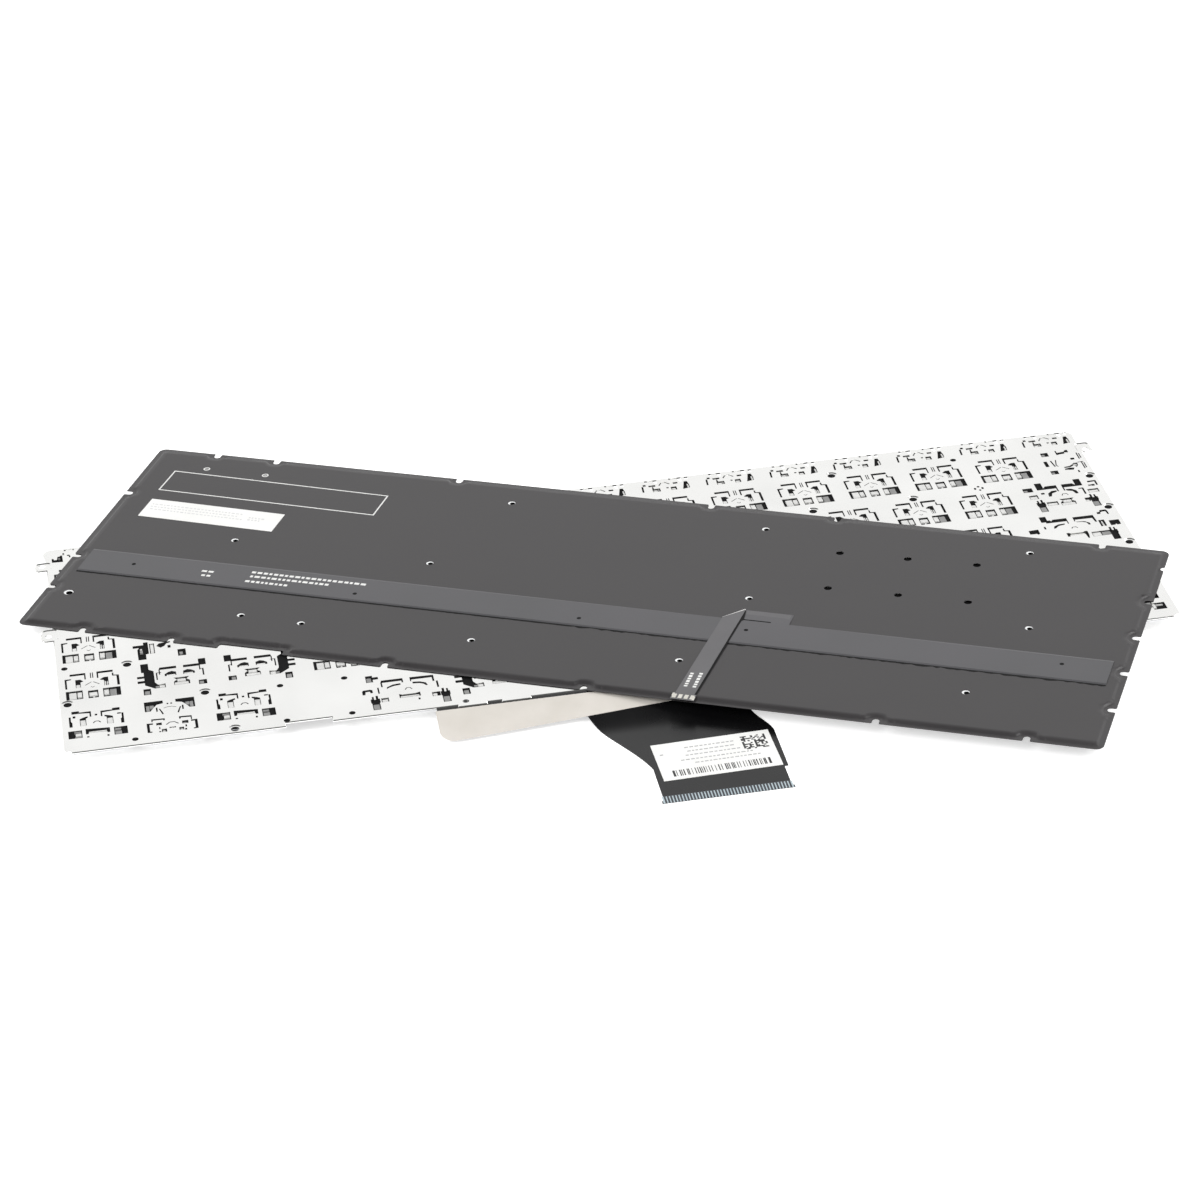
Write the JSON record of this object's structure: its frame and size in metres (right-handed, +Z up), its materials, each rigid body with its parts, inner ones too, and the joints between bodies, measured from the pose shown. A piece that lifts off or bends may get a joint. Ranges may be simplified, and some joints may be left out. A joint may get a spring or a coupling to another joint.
{
  "type": "laptop replacement keyboard",
  "caption": "Thin laptop keyboard lying on its key tops, with a punched metal back plate, a film tail with contacts, and a loose backlight sheet laid slantwise across its back.",
  "frame": {"origin": "under the middle of the back plate, in the plane of the key tops", "axes": "+X along the key rows, from the arrow keys to the tab key; +Y from the space bar to the function keys; +Z up through the back plate"},
  "size_m": [0.3028, 0.217, 0.0045],
  "materials": {
    "cap_plastic": "satin silver-grey",
    "dome_rubber": "milky",
    "lever_plastic": "moulded",
    "wire_steel": "bright",
    "clear_film": "clear film",
    "black_film": "black printed film",
    "plate_metal": "bright rolled",
    "release_paper": "waxed",
    "white_label": "coated",
    "contact_carbon": "printed carbon",
    "mask_film": "white film",
    "guide_plastic": "clear",
    "cover_film": "satin black",
    "lamp_plastic": "moulded",
    "flex_film": "coated",
    "tape_film": "satin",
    "pad_metal": "tinned"
  },
  "bodies": {
    "keyboard_base": {"adhesive_liner": "release_paper", "back_cover_film": "cover_film", "base_plate": "plate_metal", "flex_contacts": "pad_metal", "front_circuit_film": "black_film", "function_row_caps": "cap_plastic", "led_flex_strip": "flex_film", "leds": "lamp_plastic", "light_guide": "guide_plastic", "light_mask_film": "mask_film", "number_row_caps": "cap_plastic", "rear_circuit_film": "black_film", "rubber_domes": "dome_rubber", "scissor_links": "lever_plastic", "sheet_sticker": "white_label", "spacer_film": "clear_film", "stabiliser_wires": "wire_steel", "strip_cover_tape": "tape_film", "tail_contacts": "contact_carbon", "tail_label": "white_label", "upper_letter_row_caps": "cap_plastic"},
    "caps_lock_key": {"caps_lock_key": "cap_plastic"},
    "control_key": {"control_key": "cap_plastic"},
    "down_arrow_key": {"down_arrow_key": "cap_plastic"},
    "end_key": {"end_key": "cap_plastic"},
    "enter_key": {"enter_key": "cap_plastic"},
    "function_key": {"function_key": "cap_plastic"},
    "key_a": {"key_a": "cap_plastic"},
    "key_b": {"key_b": "cap_plastic"},
    "key_c": {"key_c": "cap_plastic"},
    "key_comma": {"key_comma": "cap_plastic"},
    "key_d": {"key_d": "cap_plastic"},
    "key_f": {"key_f": "cap_plastic"},
    "key_g": {"key_g": "cap_plastic"},
    "key_h": {"key_h": "cap_plastic"},
    "key_j": {"key_j": "cap_plastic"},
    "key_k": {"key_k": "cap_plastic"},
    "key_l": {"key_l": "cap_plastic"},
    "key_m": {"key_m": "cap_plastic"},
    "key_n": {"key_n": "cap_plastic"},
    "key_period": {"key_period": "cap_plastic"},
    "key_quote": {"key_quote": "cap_plastic"},
    "key_s": {"key_s": "cap_plastic"},
    "key_semicolon": {"key_semicolon": "cap_plastic"},
    "key_slash": {"key_slash": "cap_plastic"},
    "key_v": {"key_v": "cap_plastic"},
    "key_x": {"key_x": "cap_plastic"},
    "key_z": {"key_z": "cap_plastic"},
    "left_alt_key": {"left_alt_key": "cap_plastic"},
    "left_arrow_key": {"left_arrow_key": "cap_plastic"},
    "left_shift_key": {"left_shift_key": "cap_plastic"},
    "page_down_key": {"page_down_key": "cap_plastic"},
    "right_alt_key": {"right_alt_key": "cap_plastic"},
    "right_arrow_key": {"right_arrow_key": "cap_plastic"},
    "right_shift_key": {"right_shift_key": "cap_plastic"},
    "space_bar": {"space_bar": "cap_plastic"},
    "system_key": {"system_key": "cap_plastic"},
    "up_arrow_key": {"up_arrow_key": "cap_plastic"}
  },
  "joints": [
    {"name": "caps_lock_key_press", "type": "slide", "parent": "keyboard_base", "child": "caps_lock_key", "axis": [0, 0, 1], "range_m": [0, 0.0014], "stiffness_N_per_m": 300, "springref_m": -0.0008, "deforming": ["rubber_domes", "scissor_links"]},
    {"name": "control_key_press", "type": "slide", "parent": "keyboard_base", "child": "control_key", "axis": [0, 0, 1], "range_m": [0, 0.0014], "stiffness_N_per_m": 300, "springref_m": -0.0008, "deforming": ["rubber_domes", "scissor_links"]},
    {"name": "down_arrow_key_press", "type": "slide", "parent": "keyboard_base", "child": "down_arrow_key", "axis": [0, 0, 1], "range_m": [0, 0.0014], "stiffness_N_per_m": 300, "springref_m": -0.0008, "deforming": ["rubber_domes", "scissor_links"]},
    {"name": "end_key_press", "type": "slide", "parent": "keyboard_base", "child": "end_key", "axis": [0, 0, 1], "range_m": [0, 0.0014], "stiffness_N_per_m": 300, "springref_m": -0.0008, "deforming": ["rubber_domes", "scissor_links"]},
    {"name": "enter_key_press", "type": "slide", "parent": "keyboard_base", "child": "enter_key", "axis": [0, 0, 1], "range_m": [0, 0.0014], "stiffness_N_per_m": 300, "springref_m": -0.0008, "deforming": ["rubber_domes", "scissor_links"]},
    {"name": "function_key_press", "type": "slide", "parent": "keyboard_base", "child": "function_key", "axis": [0, 0, 1], "range_m": [0, 0.0014], "stiffness_N_per_m": 300, "springref_m": -0.0008, "deforming": ["rubber_domes", "scissor_links"]},
    {"name": "key_a_press", "type": "slide", "parent": "keyboard_base", "child": "key_a", "axis": [0, 0, 1], "range_m": [0, 0.0014], "stiffness_N_per_m": 300, "springref_m": -0.0008, "deforming": ["rubber_domes", "scissor_links"]},
    {"name": "key_b_press", "type": "slide", "parent": "keyboard_base", "child": "key_b", "axis": [0, 0, 1], "range_m": [0, 0.0014], "stiffness_N_per_m": 300, "springref_m": -0.0008, "deforming": ["rubber_domes", "scissor_links"]},
    {"name": "key_c_press", "type": "slide", "parent": "keyboard_base", "child": "key_c", "axis": [0, 0, 1], "range_m": [0, 0.0014], "stiffness_N_per_m": 300, "springref_m": -0.0008, "deforming": ["rubber_domes", "scissor_links"]},
    {"name": "key_comma_press", "type": "slide", "parent": "keyboard_base", "child": "key_comma", "axis": [0, 0, 1], "range_m": [0, 0.0014], "stiffness_N_per_m": 300, "springref_m": -0.0008, "deforming": ["rubber_domes", "scissor_links"]},
    {"name": "key_d_press", "type": "slide", "parent": "keyboard_base", "child": "key_d", "axis": [0, 0, 1], "range_m": [0, 0.0014], "stiffness_N_per_m": 300, "springref_m": -0.0008, "deforming": ["rubber_domes", "scissor_links"]},
    {"name": "key_f_press", "type": "slide", "parent": "keyboard_base", "child": "key_f", "axis": [0, 0, 1], "range_m": [0, 0.0014], "stiffness_N_per_m": 300, "springref_m": -0.0008, "deforming": ["rubber_domes", "scissor_links"]},
    {"name": "key_g_press", "type": "slide", "parent": "keyboard_base", "child": "key_g", "axis": [0, 0, 1], "range_m": [0, 0.0014], "stiffness_N_per_m": 300, "springref_m": -0.0008, "deforming": ["rubber_domes", "scissor_links"]},
    {"name": "key_h_press", "type": "slide", "parent": "keyboard_base", "child": "key_h", "axis": [0, 0, 1], "range_m": [0, 0.0014], "stiffness_N_per_m": 300, "springref_m": -0.0008, "deforming": ["rubber_domes", "scissor_links"]},
    {"name": "key_j_press", "type": "slide", "parent": "keyboard_base", "child": "key_j", "axis": [0, 0, 1], "range_m": [0, 0.0014], "stiffness_N_per_m": 300, "springref_m": -0.0008, "deforming": ["rubber_domes", "scissor_links"]},
    {"name": "key_k_press", "type": "slide", "parent": "keyboard_base", "child": "key_k", "axis": [0, 0, 1], "range_m": [0, 0.0014], "stiffness_N_per_m": 300, "springref_m": -0.0008, "deforming": ["rubber_domes", "scissor_links"]},
    {"name": "key_l_press", "type": "slide", "parent": "keyboard_base", "child": "key_l", "axis": [0, 0, 1], "range_m": [0, 0.0014], "stiffness_N_per_m": 300, "springref_m": -0.0008, "deforming": ["rubber_domes", "scissor_links"]},
    {"name": "key_m_press", "type": "slide", "parent": "keyboard_base", "child": "key_m", "axis": [0, 0, 1], "range_m": [0, 0.0014], "stiffness_N_per_m": 300, "springref_m": -0.0008, "deforming": ["rubber_domes", "scissor_links"]},
    {"name": "key_n_press", "type": "slide", "parent": "keyboard_base", "child": "key_n", "axis": [0, 0, 1], "range_m": [0, 0.0014], "stiffness_N_per_m": 300, "springref_m": -0.0008, "deforming": ["rubber_domes", "scissor_links"]},
    {"name": "key_period_press", "type": "slide", "parent": "keyboard_base", "child": "key_period", "axis": [0, 0, 1], "range_m": [0, 0.0014], "stiffness_N_per_m": 300, "springref_m": -0.0008, "deforming": ["rubber_domes", "scissor_links"]},
    {"name": "key_quote_press", "type": "slide", "parent": "keyboard_base", "child": "key_quote", "axis": [0, 0, 1], "range_m": [0, 0.0014], "stiffness_N_per_m": 300, "springref_m": -0.0008, "deforming": ["rubber_domes", "scissor_links"]},
    {"name": "key_s_press", "type": "slide", "parent": "keyboard_base", "child": "key_s", "axis": [0, 0, 1], "range_m": [0, 0.0014], "stiffness_N_per_m": 300, "springref_m": -0.0008, "deforming": ["rubber_domes", "scissor_links"]},
    {"name": "key_semicolon_press", "type": "slide", "parent": "keyboard_base", "child": "key_semicolon", "axis": [0, 0, 1], "range_m": [0, 0.0014], "stiffness_N_per_m": 300, "springref_m": -0.0008, "deforming": ["rubber_domes", "scissor_links"]},
    {"name": "key_slash_press", "type": "slide", "parent": "keyboard_base", "child": "key_slash", "axis": [0, 0, 1], "range_m": [0, 0.0014], "stiffness_N_per_m": 300, "springref_m": -0.0008, "deforming": ["rubber_domes", "scissor_links"]},
    {"name": "key_v_press", "type": "slide", "parent": "keyboard_base", "child": "key_v", "axis": [0, 0, 1], "range_m": [0, 0.0014], "stiffness_N_per_m": 300, "springref_m": -0.0008, "deforming": ["rubber_domes", "scissor_links"]},
    {"name": "key_x_press", "type": "slide", "parent": "keyboard_base", "child": "key_x", "axis": [0, 0, 1], "range_m": [0, 0.0014], "stiffness_N_per_m": 300, "springref_m": -0.0008, "deforming": ["rubber_domes", "scissor_links"]},
    {"name": "key_z_press", "type": "slide", "parent": "keyboard_base", "child": "key_z", "axis": [0, 0, 1], "range_m": [0, 0.0014], "stiffness_N_per_m": 300, "springref_m": -0.0008, "deforming": ["rubber_domes", "scissor_links"]},
    {"name": "left_alt_key_press", "type": "slide", "parent": "keyboard_base", "child": "left_alt_key", "axis": [0, 0, 1], "range_m": [0, 0.0014], "stiffness_N_per_m": 300, "springref_m": -0.0008, "deforming": ["rubber_domes", "scissor_links"]},
    {"name": "left_arrow_key_press", "type": "slide", "parent": "keyboard_base", "child": "left_arrow_key", "axis": [0, 0, 1], "range_m": [0, 0.0014], "stiffness_N_per_m": 300, "springref_m": -0.0008, "deforming": ["rubber_domes", "scissor_links"]},
    {"name": "left_shift_key_press", "type": "slide", "parent": "keyboard_base", "child": "left_shift_key", "axis": [0, 0, 1], "range_m": [0, 0.0014], "stiffness_N_per_m": 300, "springref_m": -0.0008, "deforming": ["rubber_domes", "scissor_links"]},
    {"name": "page_down_key_press", "type": "slide", "parent": "keyboard_base", "child": "page_down_key", "axis": [0, 0, 1], "range_m": [0, 0.0014], "stiffness_N_per_m": 300, "springref_m": -0.0008, "deforming": ["rubber_domes", "scissor_links"]},
    {"name": "right_alt_key_press", "type": "slide", "parent": "keyboard_base", "child": "right_alt_key", "axis": [0, 0, 1], "range_m": [0, 0.0014], "stiffness_N_per_m": 300, "springref_m": -0.0008, "deforming": ["rubber_domes", "scissor_links"]},
    {"name": "right_arrow_key_press", "type": "slide", "parent": "keyboard_base", "child": "right_arrow_key", "axis": [0, 0, 1], "range_m": [0, 0.0014], "stiffness_N_per_m": 300, "springref_m": -0.0008, "deforming": ["rubber_domes", "scissor_links"]},
    {"name": "right_shift_key_press", "type": "slide", "parent": "keyboard_base", "child": "right_shift_key", "axis": [0, 0, 1], "range_m": [0, 0.0014], "stiffness_N_per_m": 300, "springref_m": -0.0008, "deforming": ["rubber_domes", "scissor_links"]},
    {"name": "space_bar_press", "type": "slide", "parent": "keyboard_base", "child": "space_bar", "axis": [0, 0, 1], "range_m": [0, 0.0014], "stiffness_N_per_m": 300, "springref_m": -0.0008, "deforming": ["rubber_domes", "scissor_links"]},
    {"name": "system_key_press", "type": "slide", "parent": "keyboard_base", "child": "system_key", "axis": [0, 0, 1], "range_m": [0, 0.0014], "stiffness_N_per_m": 300, "springref_m": -0.0008, "deforming": ["rubber_domes", "scissor_links"]},
    {"name": "up_arrow_key_press", "type": "slide", "parent": "keyboard_base", "child": "up_arrow_key", "axis": [0, 0, 1], "range_m": [0, 0.0014], "stiffness_N_per_m": 300, "springref_m": -0.0008, "deforming": ["rubber_domes", "scissor_links"]}
  ]
}
